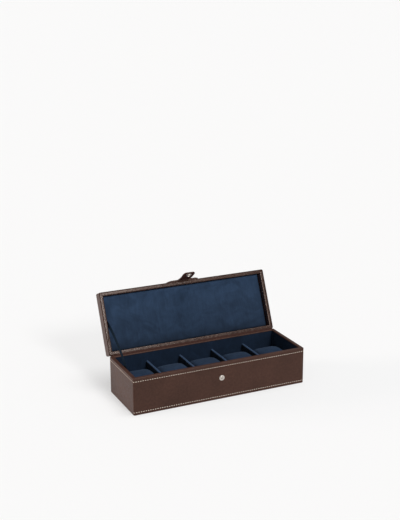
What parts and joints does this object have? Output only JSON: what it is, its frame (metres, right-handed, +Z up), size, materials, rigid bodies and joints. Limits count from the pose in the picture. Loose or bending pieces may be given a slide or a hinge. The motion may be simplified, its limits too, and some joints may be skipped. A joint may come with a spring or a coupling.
{
  "type": "watch display box",
  "caption": "Leather-covered display box with a hinged lid on a ribbon stay, suede-lined compartments holding lift-out cushions, and a press-stud closing tab.",
  "frame": {"origin": "centre of the underside of the tray", "axes": "+X along the front of the case, to the right seen from the front; +Y from the front to the hinge; +Z up"},
  "size_m": [0.34, 0.1846, 0.2],
  "materials": {
    "board": "bare fibreboard",
    "leather": "smooth semi-matt grain",
    "flesh_leather": "matt flesh side",
    "suede_lining": "napped suede",
    "divider_suede": "napped suede",
    "cushion_suede": "napped suede",
    "nickel": "polished nickel",
    "ribbon": "woven grosgrain"
  },
  "bodies": {
    "tray": {"bottom_board": "board", "front_board": "board", "back_board": "board", "left_board": "board", "right_board": "board", "base_cover": "flesh_leather", "front_cover": "leather", "back_cover": "leather", "left_cover": "leather", "right_cover": "leather", "back_rim": "leather", "floor_lining": "suede_lining", "front_lining": "suede_lining", "back_lining": "suede_lining", "left_lining": "suede_lining", "right_lining": "suede_lining", "divider_1": "divider_suede", "divider_2": "divider_suede", "divider_3": "divider_suede", "divider_4": "divider_suede", "snap_stud": "nickel", "stud_rivet": "nickel", "hinge_leather": "flesh_leather", "ribbon_stay": "ribbon"},
    "lid": {"lid_top_board": "board", "lid_front_board": "board", "lid_back_board": "board", "lid_left_board": "board", "lid_right_board": "board", "lid_top_cover": "leather", "lid_front_cover": "leather", "lid_back_cover": "leather", "lid_left_cover": "leather", "lid_right_cover": "leather", "lid_front_rim": "leather", "lid_back_rim": "leather", "lid_left_rim": "leather", "lid_right_rim": "leather", "lid_lining": "suede_lining", "closure_bar": "leather"},
    "tab": {"tab_leather": "leather", "tab_lining": "flesh_leather", "snap_cap": "nickel", "snap_socket": "nickel"},
    "cushion_body_1": {"cushion_1": "cushion_suede"},
    "cushion_body_2": {"cushion_2": "cushion_suede"},
    "cushion_body_3": {"cushion_3": "cushion_suede"},
    "cushion_body_4": {"cushion_4": "cushion_suede"},
    "cushion_body_5": {"cushion_5": "cushion_suede"}
  },
  "joints": [
    {"name": "lid_hinge", "type": "hinge", "parent": "tray", "child": "lid", "pos_m": [0, 0.05875, 0.069], "axis": [-1, 0, 0], "range_deg": [-113.3, 0], "deforming": ["hinge_leather", "ribbon_stay"]},
    {"name": "tab_flex", "type": "hinge", "parent": "lid", "child": "tab", "pos_m": [0, 0.10788, 0.17904], "axis": [-1, 0, 0], "range_deg": [-5.5, 65], "stiffness_Nm_per_rad": 0.02},
    {"name": "cushion_1_lift", "type": "slide", "parent": "tray", "child": "cushion_body_1", "axis": [0, 0, 1], "range_m": [0, 0.08]},
    {"name": "cushion_2_lift", "type": "slide", "parent": "tray", "child": "cushion_body_2", "axis": [0, 0, 1], "range_m": [0, 0.08]},
    {"name": "cushion_3_lift", "type": "slide", "parent": "tray", "child": "cushion_body_3", "axis": [0, 0, 1], "range_m": [0, 0.08]},
    {"name": "cushion_4_lift", "type": "slide", "parent": "tray", "child": "cushion_body_4", "axis": [0, 0, 1], "range_m": [0, 0.08]},
    {"name": "cushion_5_lift", "type": "slide", "parent": "tray", "child": "cushion_body_5", "axis": [0, 0, 1], "range_m": [0, 0.08]}
  ]
}
